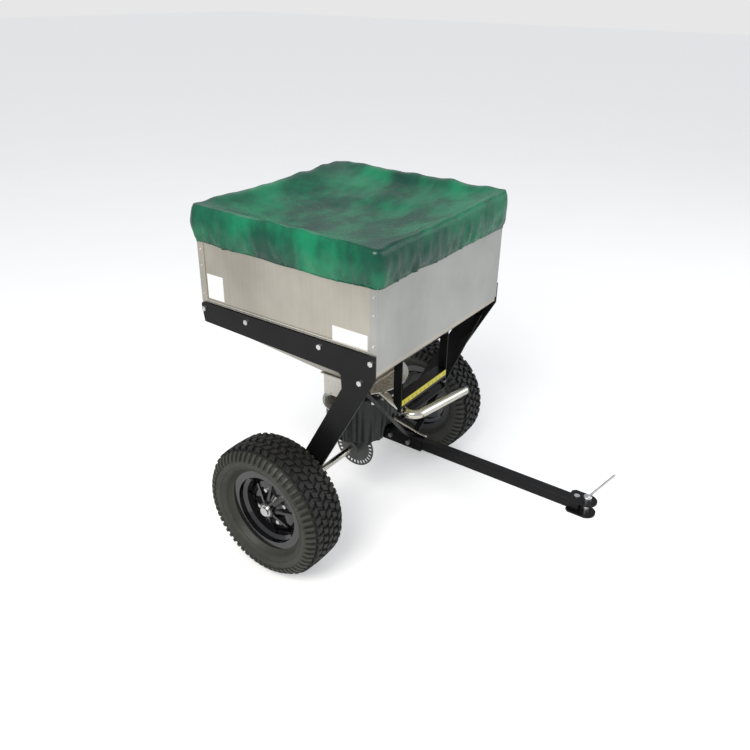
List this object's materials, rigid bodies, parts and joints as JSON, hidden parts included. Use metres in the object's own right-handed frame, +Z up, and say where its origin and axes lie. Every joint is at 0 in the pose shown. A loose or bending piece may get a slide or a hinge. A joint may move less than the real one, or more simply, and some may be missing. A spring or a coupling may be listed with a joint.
{
  "type": "tow-behind fertilizer spreader",
  "caption": "Tow-behind broadcast spreader: square hopper with fitted cover on a two-wheel drawbar frame, ground-driven spinner, rate gate with lever and scale, clevis hitch.",
  "frame": {"origin": "on the ground midway between the two wheels, straight below the axle, with the machine level", "axes": "+Z up, -Y the direction of travel (towards the hitch), +X towards the left-hand wheel"},
  "size_m": [0.928, 1.1139, 0.9678],
  "materials": {
    "black_powder_coat": "satin",
    "stainless_sheet": "brushed",
    "stainless_tube": "polished",
    "zinc_plate": "plated",
    "rim_paint": "gloss",
    "tyre": "matte",
    "rubber_sheet": "matte",
    "green_tarp": "coated",
    "gear_steel": "dull",
    "bush_plastic": "matte",
    "cap_plastic": "satin",
    "scale_yellow": "satin"
  },
  "bodies": {
    "frame": {"bracket_stay": "stainless_tube", "channel_bolts": "zinc_plate", "clevis_bolt": "zinc_plate", "clevis_bottom_plate": "black_powder_coat", "clevis_top_plate": "black_powder_coat", "curtain_bolts": "zinc_plate", "curtain_deck": "black_powder_coat", "drawbar": "black_powder_coat", "drawbar_channel": "black_powder_coat", "gear_bracket": "black_powder_coat", "gear_bracket_bush": "bush_plastic", "gear_guard": "black_powder_coat", "gear_guard_screws": "zinc_plate", "hopper_front_panel": "stainless_sheet", "hopper_funnel": "stainless_sheet", "hopper_rear_panel": "stainless_sheet", "hopper_rivets": "zinc_plate", "left_axle_bush": "bush_plastic", "left_brace": "black_powder_coat", "left_scale_hanger": "black_powder_coat", "left_side_panel": "stainless_sheet", "left_side_plate": "black_powder_coat", "left_side_plate_bolts": "zinc_plate", "lever_stop_bolts": "zinc_plate", "lower_shaft_bush": "bush_plastic", "notched_bar": "black_powder_coat", "outlet_duct": "stainless_sheet", "outlet_plate": "stainless_sheet", "right_axle_bush": "bush_plastic", "right_brace": "black_powder_coat", "right_scale_hanger": "black_powder_coat", "right_side_panel": "stainless_sheet", "right_side_plate": "black_powder_coat", "right_side_plate_bolts": "zinc_plate", "scale_bracket": "black_powder_coat", "scale_strip": "scale_yellow", "spinner_curtain": "rubber_sheet", "upper_shaft_bush": "bush_plastic"},
    "axle_drive": {"axle": "stainless_tube", "drive_disc": "gear_steel", "drive_disc_hub": "gear_steel", "left_tyre": "tyre", "left_rim": "rim_paint", "left_rim_bolts": "zinc_plate", "axle_caps": "zinc_plate", "axle_spacers": "black_powder_coat"},
    "free_wheel": {"right_tyre": "tyre", "right_rim": "rim_paint", "right_rim_bolts": "zinc_plate"},
    "spinner_drive": {"main_shaft": "stainless_tube", "pinion": "gear_steel", "spinner": "stainless_sheet", "agitator": "zinc_plate"},
    "gate_lever": {"rate_gate": "stainless_sheet", "control_lever": "stainless_tube", "lever_cap": "cap_plastic", "lever_bolts": "zinc_plate"},
    "tow_pin": {"hitch_pin": "zinc_plate"},
    "rain_cover": {"cover": "green_tarp"}
  },
  "joints": [
    {"name": "axle_spin", "type": "hinge", "parent": "frame", "child": "axle_drive", "pos_m": [0, 0, 0.2], "axis": [1, 0, 0], "continuous": true},
    {"name": "free_wheel_spin", "type": "hinge", "parent": "frame", "child": "free_wheel", "pos_m": [0, 0, 0.2], "axis": [1, 0, 0], "continuous": true},
    {"name": "spinner_spin", "type": "hinge", "parent": "frame", "child": "spinner_drive", "pos_m": [0, 0, 0.3], "axis": [0, 0, 1], "continuous": true},
    {"name": "lever_swing", "type": "hinge", "parent": "frame", "child": "gate_lever", "pos_m": [0, 0, 0.454], "axis": [0, 0, 1], "range_deg": [0, 36]},
    {"name": "hitch_pin_lift", "type": "slide", "parent": "frame", "child": "tow_pin", "axis": [0, 0, 1], "range_m": [0, 0.12]},
    {"name": "cover_lift", "type": "slide", "parent": "frame", "child": "rain_cover", "axis": [0, 0, 1], "range_m": [0, 0.35]}
  ],
  "couplings": [
    {"joint": "spinner_spin", "follows": "axle_spin", "ratio": 2.5}
  ]
}
